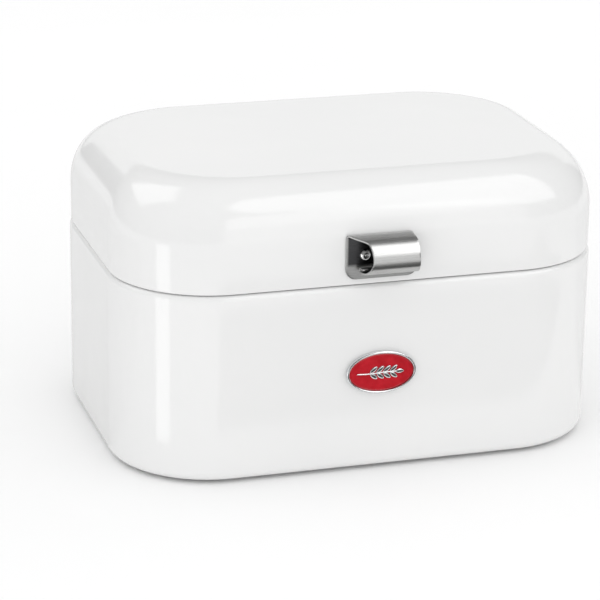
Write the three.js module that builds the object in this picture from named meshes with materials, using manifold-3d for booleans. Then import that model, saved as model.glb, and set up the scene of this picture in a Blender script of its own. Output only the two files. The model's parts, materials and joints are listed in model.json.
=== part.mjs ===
// A bread box of pressed and enamelled sheet steel: an open tub with a rolled rim, and a domed
// lid that swings up and back on two butt hinges. Millimetres, +Z up, the front faces -Y.
// The origin is under the middle of the whole box, on the table. Inside the two groups at the
// end, every position is in the shells' own frame: the middle of the tub's plan, on the table.
import * as THREE from "three";
import { mergeVertices } from "three/addons/utils/BufferGeometryUtils.js";
import Module from "manifold-3d";

const wasm = await Module();
wasm.setup();

// ---------------------------------------------------------------- driving dimensions
const width = 284.5; // across the tub, its widest piece
const shellDepth = 207; // front wall to rear wall of the tub
const height = 170.2; // table to the top of the lid
const sheet = 1; // thickness of the steel
const gap = 0.3; // between two neighbouring pieces

const tubBottom = 2; // the tub's underside above the table, set by the feet
const tubTop = 110.2; // crest of the rolled rim
const tubCorner = 58; // plan radius of the vertical corners
const bottomEdge = 5; // radius where the walls meet the bottom
const rimRadius = 3; // outer radius of the rolled rim

const lidEdge = 111.1; // lower edge of the lid
const lidInset = 0.8; // the lid's walls stand this far inside the tub's
const lidCorner = 57.2; // plan radius of the lid's corners at its walls
const lidTopCorner = 52; // and where the shoulder meets the top
const shoulderStart = 135.5; // height where the walls begin to lean in
const shoulderX = 25; // how far the shoulder comes in at the sides
const shoulderY = 28; // and at the front and rear
const crown = 0.8; // rise of the top towards its middle
const flangeWidth = 6.5; // of the lid's turned-in lower flange
const flangeBend = 1.5; // outer radius of its bend

const handleReach = 15; // front of the handle's roll, from the lid's front wall
const hingeOffset = 3; // pin axis behind the tub's rear wall
const knuckleRadius = 2.7;
const heelRadius = 4.5; // reach of the stop heel from the pin axis
const heelAngle = 97; // degrees from +Z towards +Y, lid closed

// ---------------------------------------------------------------- derived places
const radians = THREE.MathUtils.degToRad;
const degrees = THREE.MathUtils.radToDeg;
const tubFront = -shellDepth / 2;
const tubRear = shellDepth / 2;
const lidFront = tubFront + lidInset;
const lidRear = tubRear - lidInset;
const pinY = tubRear + hingeOffset;
const pinZ = (tubTop + lidEdge) / 2;
const hingeReach = hingeOffset + heelRadius * Math.sin(radians(heelAngle));
const shellY = (handleReach - lidInset - hingeReach) / 2; // the shells' middle in the box's frame
const sides = [
  ["left", -1],
  ["right", 1],
];

// ---------------------------------------------------------------- making solids
// A closed geometry as a manifold-3d solid with its faces pointing out.
function solid(geometry) {
  const bare = geometry.clone();
  bare.deleteAttribute("normal");
  bare.deleteAttribute("uv");
  const merged = mergeVertices(bare, 1e-4);
  const positions = merged.attributes.position.array;
  const corner = (i) => new THREE.Vector3().fromArray(positions, 3 * i);
  const faces = [];
  let sixVolumes = 0;
  for (let i = 0; i < merged.index.count; i += 3) {
    const [a, b, c] = merged.index.array.slice(i, i + 3);
    if (a === b || b === c || c === a) continue;
    faces.push([a, b, c]);
    sixVolumes += corner(a).dot(corner(b).cross(corner(c)));
  }
  if (sixVolumes < 0) for (const face of faces) face.reverse();
  const triVerts = new Uint32Array(faces.flat());
  return new wasm.Manifold(new wasm.Mesh({ numProp: 3, vertProperties: positions, triVerts }));
}

const union = (...solids) => wasm.Manifold.union(solids);
const throughWall = [-5, 5]; // reach of a drill on both sides of a wall

function box([x0, x1], [y0, y1], [z0, z1]) {
  const geometry = new THREE.BoxGeometry(x1 - x0, y1 - y0, z1 - z0);
  return solid(geometry.translate((x0 + x1) / 2, (y0 + y1) / 2, (z0 + z1) / 2));
}

// Turns a shape made round Y, so that its +Y runs along an axis.
const towards = {
  x: (geometry) => geometry.rotateZ(-Math.PI / 2),
  y: (geometry) => geometry,
  z: (geometry) => geometry.rotateX(Math.PI / 2),
};

// A round bar from start to end along an axis through the point at.
function bar(axis, radius, [start, end], at, steps = 14) {
  const geometry = new THREE.CylinderGeometry(radius, radius, end - start, steps);
  geometry.translate(0, (start + end) / 2, 0);
  return solid(towards[axis](geometry).translate(...at));
}

// A turned piece, its profile given as [radius, distance along the axis].
function turned(axis, profile, steps) {
  const points = profile.map(([radius, along]) => new THREE.Vector2(radius, along));
  return solid(towards[axis](new THREE.LatheGeometry(points, steps)));
}

function extruded(outline, depth, toFrame) {
  const shape = new THREE.Shape(outline.map(([u, v]) => new THREE.Vector2(u, v)));
  const geometry = new THREE.ExtrudeGeometry(shape, { depth, bevelEnabled: false });
  return solid(geometry.applyMatrix4(toFrame));
}

// An outline in Y and Z, swept along X.
const sweptAlongX = (outline, [x0, x1]) =>
  extruded(outline, x1 - x0, new THREE.Matrix4().set(0, 0, 1, x0, 1, 0, 0, 0, 0, 1, 0, 0, 0, 0, 0, 1));

// An outline in X and Z, from y0 to y1.
const plateFacingY = (outline, [y0, y1]) =>
  extruded(outline, y1 - y0, new THREE.Matrix4().set(1, 0, 0, 0, 0, 0, -1, y1, 0, 1, 0, 0, 0, 0, 0, 1));

// An outline in X and Y, from z0 to z1.
const plateFacingZ = (outline, [z0, z1]) =>
  extruded(outline, z1 - z0, new THREE.Matrix4().makeTranslation(0, 0, z0));

// Points along an arc of a circle, or of an ellipse where two radii are given.
function arc([cx, cy], radius, from, to, steps) {
  const [a, b] = [radius].flat().concat(radius);
  return Array.from({ length: steps + 1 }, (_, i) => {
    const angle = radians(from + ((to - from) * i) / steps);
    return [cx + a * Math.cos(angle), cy + b * Math.sin(angle)];
  });
}

const ellipse = (a, b, steps) => arc([0, 0], [a, b], 0, 360 - 360 / steps, steps - 1);

// ---------------------------------------------------------------- pressed shells
const cornerSteps = 7;

// The plan outline of a shell: a rectangle with round corners, anticlockwise from above.
function planOutline({ halfX, halfY, corner }) {
  const [x, y] = [halfX - corner, halfY - corner];
  return [
    ...arc([x, y], corner, 0, 90, cornerSteps),
    ...arc([-x, y], corner, 90, 180, cornerSteps),
    ...arc([-x, -y], corner, 180, 270, cornerSteps),
    ...arc([x, -y], corner, 270, 360, cornerSteps),
  ];
}

// A closed skin through plan rings {halfX, halfY, corner, z}, with a cap at each end whose
// middle is at the height given.
function skin(rings, firstCapZ, lastCapZ) {
  const points = [];
  for (const ring of rings) for (const [x, y] of planOutline(ring)) points.push(x, y, ring.z);
  points.push(0, 0, firstCapZ, 0, 0, lastCapZ);
  const count = 4 * (cornerSteps + 1);
  const last = (rings.length - 1) * count;
  const firstCap = rings.length * count;
  const lastCap = firstCap + 1;
  const faces = [];
  for (let i = 0; i < count; i++) {
    const j = (i + 1) % count;
    faces.push(firstCap, j, i, lastCap, last + i, last + j);
    for (let k = 0; k < last; k += count)
      faces.push(k + i, k + j, k + count + j, k + i, k + count + j, k + count + i);
  }
  const geometry = new THREE.BufferGeometry();
  geometry.setAttribute("position", new THREE.Float32BufferAttribute(points, 3));
  geometry.setIndex(faces);
  return solid(geometry);
}

// A plan ring at a distance inside the outer face of the tub's, or of the lid's, walls.
const wallRing = (wallInset, corner) => (inset, z) => ({
  halfX: width / 2 - wallInset - inset,
  halfY: shellDepth / 2 - wallInset - inset,
  corner: corner - inset,
  z,
});
const tubRing = wallRing(0, tubCorner);
const lidRing = wallRing(lidInset, lidCorner);

// The lid's shoulder and top: a quarter of an ellipse, then a slight crown to the middle.
function lidDome(inset) {
  const wall = lidRing(inset, shoulderStart);
  const rise = height - crown - inset - shoulderStart;
  const rings = [0, 14, 28, 42, 56, 70, 80, 90].map(radians).map((angle) => ({
    halfX: wall.halfX - shoulderX * (1 - Math.cos(angle)),
    halfY: wall.halfY - shoulderY * (1 - Math.cos(angle)),
    corner: wall.corner - (lidCorner - lidTopCorner) * (1 - Math.cos(angle)),
    z: shoulderStart + rise * Math.sin(angle),
  }));
  const { halfX, halfY, corner, z } = rings.at(-1);
  rings.push({ halfX: halfX / 2, halfY: halfY / 2, corner: corner / 2, z: z + crown * 0.75 });
  return rings;
}

// ---------------------------------------------------------------- feet
const footRadius = 7.5;
const footChamfer = 0.6;
const footStem = 2.2;
const footBarb = 3.5; // radius of the barb that holds the foot in
const footBarbHeight = 3;
const footX = width / 2 - 50;
const footY = shellDepth / 2 - 48;
const feet = [
  ["front_left", -footX, -footY],
  ["front_right", footX, -footY],
  ["rear_left", -footX, footY],
  ["rear_right", footX, footY],
];

// A push-in foot: a flat pad, a stem through the tub's bottom and a barb above it.
function foot() {
  const seat = tubBottom - gap;
  const barb = tubBottom + sheet + gap;
  const profile = [
    [0, 0],
    [footRadius - footChamfer, 0],
    [footRadius, footChamfer],
    [footRadius, seat],
    [footStem, seat],
    [footStem, barb],
    [footBarb, barb + 0.3],
    [footStem - 0.4, barb + footBarbHeight],
    [0, barb + footBarbHeight],
  ];
  return turned("z", profile, 16);
}

// ---------------------------------------------------------------- badge
// Depths are from the tub's front wall, forwards. The badge's own origin is its middle.
const badgeZ = 59.3;
const badgeHalf = [20.3, 12.4];
const badgeLip = 1.4; // width of the bezel's raised edge
const badgeFloor = 1;
const badgeFace = 2.8;
const enamelFace = 1.8;
const postX = 11;
const postRadius = 1.4;
const postLength = 4.5; // inwards from the tub's front wall
const clipRadius = 4.6;
const clipSheet = 0.5;

const badgePlate = (inset, [near, far]) =>
  plateFacingY(ellipse(badgeHalf[0] - inset, badgeHalf[1] - inset, 36), [-far, -near]);

function badgeBezel() {
  const dish = badgePlate(0, [gap, badgeFace]);
  const hollow = badgePlate(badgeLip, [badgeFloor, badgeFace + 1]);
  const posts = sides.map(([, side]) =>
    bar("y", postRadius, [-badgeFloor, postLength], [side * postX, 0, 0]),
  );
  return union(dish.subtract(hollow), ...posts);
}

const badgeEnamel = () => badgePlate(badgeLip + gap, [badgeFloor + gap, enamelFace]);

// An ear of wheat lying along X: a stalk, four pairs of grains and one more at the tip.
const emblemHalf = 0.35; // half its thickness
const emblemGap = 0.2; // to the enamel
const grainHalf = [2.6, 1.25];
const grainPitch = 3.9;
const grainTurn = 38; // degrees out from the stalk
const firstGrain = [7, 1.9];
const tipGrain = 10.4;
const stalk = { ends: [-14.5, 9], half: 0.4 };

function badgeEmblem() {
  const grain = (x, z, turn) => {
    const geometry = new THREE.SphereGeometry(1, 8, 4).rotateZ(Math.PI / 2);
    geometry.scale(grainHalf[0], emblemHalf, grainHalf[1]);
    return solid(geometry.rotateY(turn).translate(x, 0, z));
  };
  const thin = emblemHalf - 0.1;
  const pieces = [box(stalk.ends, [-thin, thin], [-stalk.half, stalk.half]), grain(tipGrain, 0, 0)];
  for (let pair = 0; pair < 4; pair++)
    for (const [, side] of sides) {
      const x = firstGrain[0] - grainPitch * pair;
      pieces.push(grain(x, side * firstGrain[1], -side * radians(grainTurn)));
    }
  return union(...pieces).translate([0, -enamelFace - emblemGap - emblemHalf, 0]);
}

// A spring clip, pushed over a badge post against the inside of the tub.
function badgeClip() {
  const near = sheet + gap;
  const disc = bar("y", clipRadius, [near, near + clipSheet], [0, 0, 0], 18);
  return disc.subtract(bar("y", postRadius + gap, [0, near + sheet], [0, 0, 0]));
}

// ---------------------------------------------------------------- hinges
// A hinge's own origin is on the pin axis, at the middle of its length.
const hingeX = 62; // middle of each hinge from the middle of the box
const hingeHalf = 20; // half its length
const lidKnuckleHalf = 7.7; // half the length of the lid's knuckle, between the tub's two
const leafLength = 20; // pin axis to a leaf's far edge
const leafSheet = 1.2;
const pinRadius = 1.4;
const pinBore = 1.6;
const rivetX = 12; // rivets to each side of a hinge's middle
const rivetZ = 13; // and above or below its pin
const rivetShank = 1.5;
const rivetHole = rivetShank + gap;
const rivetHead = 3.1; // radius of the domed head
const rivetRise = 1.5; // and its height
const rivetTail = { radius: 2.7, length: 1.1 };
const pinHead = 2.3; // radius of a pin's end
const pinHeadLength = 1;
const leafInner = -knuckleRadius;
const leafOuter = leafInner + leafSheet;
const leafStep = { start: 4, end: 5.2 }; // where the lid's leaf steps inwards

// Bores the pin's hole and the two rivet holes, above the pin (up = 1) or below it (-1).
function drilledLeaf(pieces, up) {
  const rivets = [-rivetX, rivetX].map((x) =>
    bar("y", rivetHole, throughWall, [x, 0, up * rivetZ]),
  );
  const pin = bar("x", pinBore, [-hingeHalf - 1, hingeHalf + 1], [0, 0, 0], 20);
  return union(...pieces).subtract(union(pin, ...rivets));
}

const knuckle = (span) => bar("x", knuckleRadius, span, [0, 0, 0], 20);

function tubLeaf() {
  const inner = lidKnuckleHalf + gap;
  const plate = box([-hingeHalf, hingeHalf], [leafInner, leafOuter], [-leafLength, 0]);
  const room = knuckleRadius + gap;
  const notch = box([-inner, inner], [-5, 5], [-room, 1]);
  return drilledLeaf([plate.subtract(notch), knuckle([-hingeHalf, -inner]), knuckle([inner, hingeHalf])], -1);
}

// The lid's leaf steps inwards, because the lid's wall stands inside the tub's.
function lidLeaf() {
  const outline = [
    [leafInner, 0],
    [leafOuter, 0],
    [leafOuter, leafStep.start + 0.2],
    [leafOuter - lidInset, leafStep.end + 0.2],
    [leafOuter - lidInset, leafLength],
    [leafInner - lidInset, leafLength],
    [leafInner - lidInset, leafStep.end - 0.2],
    [leafInner, leafStep.start - 0.2],
  ];
  const room = knuckleRadius + gap;
  const notches = sides.map(([, side]) => {
    const ends = [side * lidKnuckleHalf, side * (hingeHalf + 1)];
    return box([Math.min(...ends), Math.max(...ends)], [-5, 5], [-1, room]);
  });
  const plate = sweptAlongX(outline, [-hingeHalf, hingeHalf]).subtract(union(...notches));
  const span = [-lidKnuckleHalf, lidKnuckleHalf];
  return drilledLeaf([plate, knuckle(span), stopHeel(span)], 1);
}

// The heel on the lid's knuckle, which meets the tub's leaf when the lid is right back.
function stopHeel(span) {
  const at = ([radius, angle]) => [
    radius * Math.sin(radians(heelAngle + angle)),
    radius * Math.cos(radians(heelAngle + angle)),
  ];
  const inside = knuckleRadius - 0.7;
  const outline = [
    [inside, 20],
    [knuckleRadius, 20],
    [heelRadius, 4],
    [heelRadius, -4],
    [knuckleRadius, -34],
    [inside, -34],
  ];
  return sweptAlongX(outline.map(at), span);
}

function hingePin() {
  const near = hingeHalf + gap;
  const end = near + pinHeadLength;
  const half = [
    [pinRadius, near],
    [pinHead, near],
    [pinHead, end - 0.5],
    [pinHead - 0.7, end],
    [0, end],
  ];
  const mirrored = half.map(([radius, x]) => [radius, -x]).reverse();
  return turned("x", [...mirrored, ...half], 14);
}

// A rivet along Y through a leaf and a rear wall, from the leaf's outer face at 0.
function rearRivet() {
  const tail = leafSheet + gap + sheet + gap;
  const profile = [
    [0, gap + rivetRise],
    [rivetHead - 1.8, gap + rivetRise - 0.1],
    [rivetHead - 0.5, gap + rivetRise - 0.7],
    [rivetHead, gap],
    [rivetShank, gap],
    [rivetShank, -tail],
    [rivetTail.radius, -tail],
    [rivetTail.radius - 0.7, -tail - rivetTail.length + 0.2],
    [0, -tail - rivetTail.length],
  ];
  return turned("y", profile, 12);
}

// ---------------------------------------------------------------- handle
// One strip of stainless sheet: a back plate, a flange forward from its top, a roll that
// tightens downwards, and a hem folded back inside it. Reach is measured forwards from the
// lid's front wall.
const plateEnds = [-21.6, 20]; // the back plate's edges along X
const plateShoulder = 133; // above this height its right edge leans in to the roll's end
const plateCorner = 6.3;
const plateFace = gap + sheet; // reach of the back plate's front face
const handleTop = 140.3;
const handleBottom = 114.6;
const topBend = 1.5;
const rollRight = 17; // the roll's right end
const upperRadius = 12.5;
const upperCentre = [handleReach - upperRadius, 126.9]; // reach and height
const lowerRadius = 6.8;
const rollChange = -8; // where the roll tightens, in degrees round it
const hemRadius = 1.6;
const hemFlat = 2.6; // level sheet between the roll and the hem
const hemLength = 3.2; // and folded back over it
// The left edge of the sheet slants over the flange and is hollow down the roll.
const flangeEdge = [[-20.8, 2], [-15.5, 6.6], [-12.6, 7.6], [-11.4, 9.9]]; // x and reach
const rollEdge = [
  [-11.4, 137], // x and height
  [-10.6, 134.3],
  [-10.2, 131],
  [-10.2, 127],
  [-11.7, 122.6],
  [-13.3, 119.8],
  [-14.4, 118],
];
const grip = { x: 10.6, z: 128.6 }; // the handle's two rivets
const gripShank = 1.6;
const gripHole = gripShank + gap;
const gripHead = 3.1;
const gripRise = 1.8; // height of the head
const gripBulge = 2.5; // radius of the tail
const gripTail = 3; // and its length
const gripCore = 0.8;
const gripBall = 1.5; // radius of the core's inner end

// The strip's line in reach and height, a distance inside its outer face.
function stripLine(inward) {
  const bendCentre = [gap + topBend, handleTop - topBend];
  const [dx, dz] = [upperCentre[0] - bendCentre[0], upperCentre[1] - bendCentre[1]];
  const apart = Math.acos((topBend - upperRadius) / Math.hypot(dx, dz));
  const slope = degrees(Math.atan2(dz, dx) + apart); // the flat flange's normal
  const lowerCentre = arc(upperCentre, upperRadius - lowerRadius, rollChange, rollChange, 1)[0];
  const hemCentre = [lowerCentre[0] - hemFlat, lowerCentre[1] - lowerRadius + hemRadius];
  return [
    [gap + inward, handleTop - topBend - 1],
    ...arc(bendCentre, topBend - inward, 180, slope, 4),
    ...arc(upperCentre, upperRadius - inward, slope, rollChange, 9),
    ...arc(lowerCentre, lowerRadius - inward, rollChange, -90, 7).slice(1),
    ...arc(hemCentre, hemRadius - inward, -90, -270, 6),
    [hemCentre[0] + hemLength, hemCentre[1] + hemRadius - inward],
  ];
}

function handleBracket() {
  const [left, right] = plateEnds;
  const low = handleBottom + plateCorner;
  const plate = plateFacingY(
    [
      ...arc([left + plateCorner, low], plateCorner, 180, 270, 6),
      ...arc([right - plateCorner, low], plateCorner, 270, 360, 6),
      [right, plateShoulder],
      [rollRight, handleTop - topBend],
      [left, handleTop - topBend],
    ],
    [-plateFace, -gap],
  );
  const line = [...stripLine(0), ...stripLine(sheet).reverse()];
  const strip = sweptAlongX(
    line.map(([reach, z]) => [-reach, z]),
    [left, rollRight],
  );
  const clear = left - 5;
  const beyond = handleReach + 5;
  const [flangeStart, flangeEnd] = [flangeEdge[0], flangeEdge.at(-1)];
  const besideFlange = [
    [clear, flangeStart[1]],
    ...flangeEdge,
    [flangeEnd[0], beyond],
    [clear, beyond],
  ];
  const besideRoll = [[clear, rollEdge[0][1]], ...rollEdge, [clear, rollEdge.at(-1)[1]]];
  const cuts = union(
    plateFacingZ(
      besideFlange.map(([x, reach]) => [x, -reach]),
      [rollEdge[0][1], handleTop + 5],
    ),
    plateFacingY(besideRoll, [-beyond, -plateFace]),
  );
  const holes = sides.map(([, side]) => bar("y", gripHole, throughWall, [side * grip.x, 0, grip.z]));
  return union(plate, strip.subtract(cuts)).subtract(union(...holes));
}

// A blind rivet along Y: a flanged dome in front, a hollow shank and a bulged tail inside.
// Its origin is on the lid's front wall, and its bore holds the broken end of its core.
function gripRivet() {
  const seat = plateFace + gap;
  const tail = sheet + gap;
  const bore = gripCore + 0.2;
  const profile = [
    [bore, seat + gripRise],
    [gripHead - 1.3, seat + gripRise - 0.2],
    [gripHead - 0.35, seat + gripRise - 1],
    [gripHead, seat + 0.3],
    [gripHead, seat],
    [gripShank, seat],
    [gripShank, -tail],
    [gripBulge, -tail - 0.6],
    [gripBulge, -tail - gripTail + 0.6],
    [bore, -tail - gripTail],
  ];
  profile.push(profile[0]);
  return turned("y", profile.map(([radius, reach]) => [radius, -reach]), 14);
}

// The core's ball pulls the tail into its bulge, and its stub shows in the dome.
function gripRivetCore() {
  const stub = plateFace + gap + gripRise - 0.6;
  const ball = -sheet - gap - gripTail - gap;
  const profile = [
    [0, stub],
    [gripCore - 0.3, stub - 0.1],
    [gripCore, stub - 0.4],
    [gripCore, ball],
    [gripBall, ball - 0.3],
    [gripBall, ball - 1.3],
    [0, ball - 1.7],
  ];
  return turned("y", profile.map(([radius, reach]) => [radius, -reach]), 12);
}

// ---------------------------------------------------------------- bumpers
const bumperX = 78;
const bumperInset = 3.9; // from the lid's front wall
const bumperRadius = 2.1;
const bumperStem = 0.8;
const bumperBarb = 1.5;

// A silicone bumper: a thin pad under the lid's flange, a stem through it and a barb above.
function bumper() {
  const flangeTop = lidEdge + sheet;
  const profile = [
    [0, tubTop + gap],
    [bumperRadius - 0.2, tubTop + gap],
    [bumperRadius, tubTop + gap + 0.2],
    [bumperRadius, lidEdge - 0.1],
    [bumperStem, lidEdge - 0.1],
    [bumperStem, flangeTop + gap],
    [bumperBarb, flangeTop + gap + 0.2],
    [bumperStem - 0.2, flangeTop + 2.2],
    [0, flangeTop + 2.2],
  ];
  return turned("z", profile, 12);
}

// ---------------------------------------------------------------- the two shells
const ventRadius = 2.5;
const ventPitch = 12;
const ventRows = [
  { z: 92, columns: [-3, -2, -1, 0, 1, 2, 3] },
  { z: 82, columns: [-2.5, -1.5, -0.5, 0.5, 1.5, 2.5] },
];

function tubShell() {
  const bottom = [bottomEdge, tubBottom + bottomEdge]; // centres of the bends: inset and height
  const rim = [rimRadius, tubTop - rimRadius];
  const rings = [
    ...arc(bottom, bottomEdge, 270, 180, 4),
    ...arc(rim, rimRadius, 180, -50, 8),
    ...arc(rim, rimRadius - sheet, -50, 180, 7),
    ...arc(bottom, bottomEdge - sheet, 180, 270, 3),
  ].map(([inset, z]) => tubRing(inset, z));
  const holes = feet.map(([, x, y]) => bar("z", footStem + gap, [0, 10], [x, y, 0]));
  for (const [, side] of sides) {
    holes.push(bar("y", postRadius + gap, throughWall, [side * postX, tubFront, badgeZ]));
    for (const x of [-rivetX, rivetX])
      holes.push(bar("y", rivetHole, throughWall, [side * hingeX + x, tubRear, pinZ - rivetZ]));
  }
  for (const { z, columns } of ventRows)
    for (const column of columns)
      holes.push(bar("y", ventRadius, throughWall, [column * ventPitch, tubRear, z], 12));
  return skin(rings, tubBottom, tubBottom + sheet).subtract(union(...holes));
}

function lidShell() {
  const bend = [flangeBend, lidEdge + flangeBend];
  const flange = [
    lidRing(sheet, lidEdge + sheet + 0.5),
    lidRing(sheet + 0.5, lidEdge + sheet),
    lidRing(flangeWidth, lidEdge + sheet),
    lidRing(flangeWidth, lidEdge),
    ...arc(bend, flangeBend, 270, 180, 3).map(([inset, z]) => lidRing(inset, z)),
  ];
  const rings = [...lidDome(sheet).reverse(), ...flange, ...lidDome(0)];
  const holes = [];
  for (const [, side] of sides) {
    const stem = [side * bumperX, lidFront + bumperInset, lidEdge];
    holes.push(bar("z", bumperStem + gap, throughWall, stem, 12));
    holes.push(bar("y", gripHole, throughWall, [side * grip.x, lidFront, grip.z]));
    for (const x of [-rivetX, rivetX])
      holes.push(bar("y", rivetHole, throughWall, [side * hingeX + x, lidRear, pinZ + rivetZ]));
  }
  return skin(rings, height - sheet, height).subtract(union(...holes));
}

// ---------------------------------------------------------------- materials
const finish = (color, roughness, metalness = 0) =>
  new THREE.MeshStandardMaterial({ color, roughness, metalness });
const whiteEnamel = finish(0xf2f2f0, 0.2);
const brushedSteel = finish(0xb9b9b7, 0.35, 1);
const chromed = finish(0xd9dadb, 0.12, 1);
const zinced = finish(0xc4c6c8, 0.4, 1);
const redEnamel = finish(0xb31226, 0.15);
const rubber = finish(0x2b2b2b, 0.8);
const silicone = finish(0xe4e6e4, 0.5);

// ---------------------------------------------------------------- the assembly
function add(group, name, shape, material, [x, y, z] = [0, 0, 0]) {
  const { vertProperties, triVerts } = shape.getMesh();
  const geometry = new THREE.BufferGeometry();
  geometry.setAttribute("position", new THREE.BufferAttribute(vertProperties, 3));
  geometry.setIndex(new THREE.BufferAttribute(triVerts, 1));
  geometry.computeVertexNormals();
  const mesh = new THREE.Mesh(geometry, material);
  mesh.name = name;
  mesh.position.set(x, y, z);
  group.add(mesh);
}

const tub = new THREE.Group();
tub.position.set(0, shellY, 0);
add(tub, "tub_shell", tubShell(), whiteEnamel);
for (const [corner, x, y] of feet) add(tub, `foot_${corner}`, foot(), rubber, [x, y, 0]);
const badgeAt = [0, tubFront, badgeZ];
add(tub, "badge_bezel", badgeBezel(), chromed, badgeAt);
add(tub, "badge_enamel", badgeEnamel(), redEnamel, badgeAt);
add(tub, "badge_emblem", badgeEmblem(), chromed, badgeAt);

// The lid's group turns about the pins: a negative rotation.x opens it, to 95 degrees.
const lid = new THREE.Group();
lid.position.set(0, shellY + pinY, pinZ);
const lidParts = new THREE.Group();
lidParts.position.set(0, -pinY, -pinZ);
lid.add(lidParts);
add(lidParts, "lid_shell", lidShell(), whiteEnamel);
add(lidParts, "handle_bracket", handleBracket(), brushedSteel, [0, lidFront, 0]);

const rivetNames = [
  ["inner", -1],
  ["outer", 1],
];
for (const [hand, side] of sides) {
  const at = [side * hingeX, pinY, pinZ];
  add(tub, `badge_clip_${hand}`, badgeClip(), zinced, [side * postX, tubFront, badgeZ]);
  add(tub, `hinge_tub_leaf_${hand}`, tubLeaf(), zinced, at);
  add(tub, `hinge_pin_${hand}`, hingePin(), zinced, at);
  add(lidParts, `hinge_lid_leaf_${hand}`, lidLeaf(), zinced, at);
  for (const [place, outwards] of rivetNames) {
    const x = side * (hingeX + outwards * rivetX);
    const face = pinY + leafOuter;
    const [low, high] = [pinZ - rivetZ, pinZ + rivetZ];
    add(tub, `tub_rivet_${hand}_${place}`, rearRivet(), zinced, [x, face, low]);
    add(lidParts, `lid_rivet_${hand}_${place}`, rearRivet(), zinced, [x, face - lidInset, high]);
  }
  const gripAt = [side * grip.x, lidFront, grip.z];
  add(lidParts, `handle_rivet_${hand}`, gripRivet(), brushedSteel, gripAt);
  add(lidParts, `handle_rivet_core_${hand}`, gripRivetCore(), zinced, gripAt);
  const bumperAt = [side * bumperX, lidFront + bumperInset, 0];
  add(lidParts, `lid_bumper_${hand}`, bumper(), silicone, bumperAt);
}

const breadBox = new THREE.Group();
breadBox.add(tub, lid);

export default breadBox;
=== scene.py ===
import json
import math

import bmesh
import bpy
from mathutils import Matrix, Vector


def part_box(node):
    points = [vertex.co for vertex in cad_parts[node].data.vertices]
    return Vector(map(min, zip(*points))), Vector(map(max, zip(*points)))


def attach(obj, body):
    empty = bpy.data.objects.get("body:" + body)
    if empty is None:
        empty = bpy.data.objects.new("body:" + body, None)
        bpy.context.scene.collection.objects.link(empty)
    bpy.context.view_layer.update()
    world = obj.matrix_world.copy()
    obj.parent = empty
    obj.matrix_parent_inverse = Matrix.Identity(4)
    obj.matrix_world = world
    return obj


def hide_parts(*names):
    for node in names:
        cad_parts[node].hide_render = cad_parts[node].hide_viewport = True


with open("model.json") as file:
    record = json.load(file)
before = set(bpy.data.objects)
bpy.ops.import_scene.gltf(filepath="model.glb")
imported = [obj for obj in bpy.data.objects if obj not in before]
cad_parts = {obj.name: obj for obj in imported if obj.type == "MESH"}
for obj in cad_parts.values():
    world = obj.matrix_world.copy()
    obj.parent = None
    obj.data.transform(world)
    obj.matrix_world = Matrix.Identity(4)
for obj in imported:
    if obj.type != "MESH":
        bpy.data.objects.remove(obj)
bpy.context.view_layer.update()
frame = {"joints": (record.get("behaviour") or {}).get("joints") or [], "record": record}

# The looks of a bread box of enamelled sheet steel. Metres, +Z up, the front faces -Y.
record = frame["record"]
slot_of = {row["node"]: row["material_slot"] for row in record["subparts"]}
body_of = {node: body for body, nodes in record["behaviour"]["bodies"].items() for node in nodes}
HANDS = ("left", "right")

# ---------------------------------------------------------------- places, from the frame
tub_low, tub_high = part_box("tub_shell")
lid_low, lid_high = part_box("lid_shell")
pin_y, pin_z = frame["joints"][0]["pos_m"][1:]
middle_y = (tub_low.y + tub_high.y) / 2
SHEET = 0.001
PLAY = 0.0003  # room between a piece and the one that it sits on
# the tub: its corners seen from above, its bottom edge and its rolled rim
TUB_CORNER = 0.058
BOTTOM_EDGE = 0.005
RIM = 0.003
# the lid: its corners at the wall and at the top, where its shoulder starts and how far that
# leans in along X and along Y, the rise of its top, and the flange turned in at its edge
LID_CORNER = 0.0572
LID_TOP_CORNER = 0.052
SHOULDER_START = 0.1355
SHOULDER_X = 0.025
SHOULDER_Y = 0.028
CROWN = 0.0008
FLANGE = 0.0065
FLANGE_BEND = 0.0015


def middle_of(node):
    """The middle of a CAD node's box."""
    low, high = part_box(node)
    return (low + high) / 2


# ---------------------------------------------------------------- the camera
def make_camera():
    """The picture's viewpoint: a long lens, a little to the left of the front and above it."""
    azimuth, elevation, roll = map(math.radians, (-17.137, 19.089, 0.789))
    distance, sideways, upwards, aim_height = 1.5383, -0.014855, -0.019574, 0.087
    aim = Vector((0, middle_y, aim_height))
    right = Vector((math.cos(azimuth), math.sin(azimuth), 0))
    back = Vector((
        math.sin(azimuth) * math.cos(elevation),
        -math.cos(azimuth) * math.cos(elevation),
        math.sin(elevation),
    ))
    up = back.cross(right)
    data = bpy.data.cameras.new("camera")
    data.sensor_width = 36
    data.lens = 156.51
    data.clip_start, data.clip_end = 0.05, 50
    camera = bpy.data.objects.new("camera", data)
    bpy.context.scene.collection.objects.link(camera)
    turn = Matrix((right, up, back)).transposed() @ Matrix.Rotation(roll, 3, "Z")
    eye = aim + right * sideways + up * upwards + back * distance
    camera.matrix_world = Matrix.Translation(eye) @ turn.to_4x4()
    bpy.context.scene.camera = camera


# ---------------------------------------------------------------- making meshes
def arc(centre, radius, start, end, steps):
    """Points along an arc, in degrees; an ellipse where radius is a pair."""
    a, b = radius if isinstance(radius, tuple) else (radius, radius)
    turns = [math.radians(start + (end - start) * i / steps) for i in range(steps + 1)]
    return [(centre[0] + a * math.cos(t), centre[1] + b * math.sin(t)) for t in turns]


def between(start, end, steps):
    """Points between two ends, without the ends."""
    shares = [i / steps for i in range(1, steps)]
    return [tuple(p + (q - p) * s for p, q in zip(start, end)) for s in shares]


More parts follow.
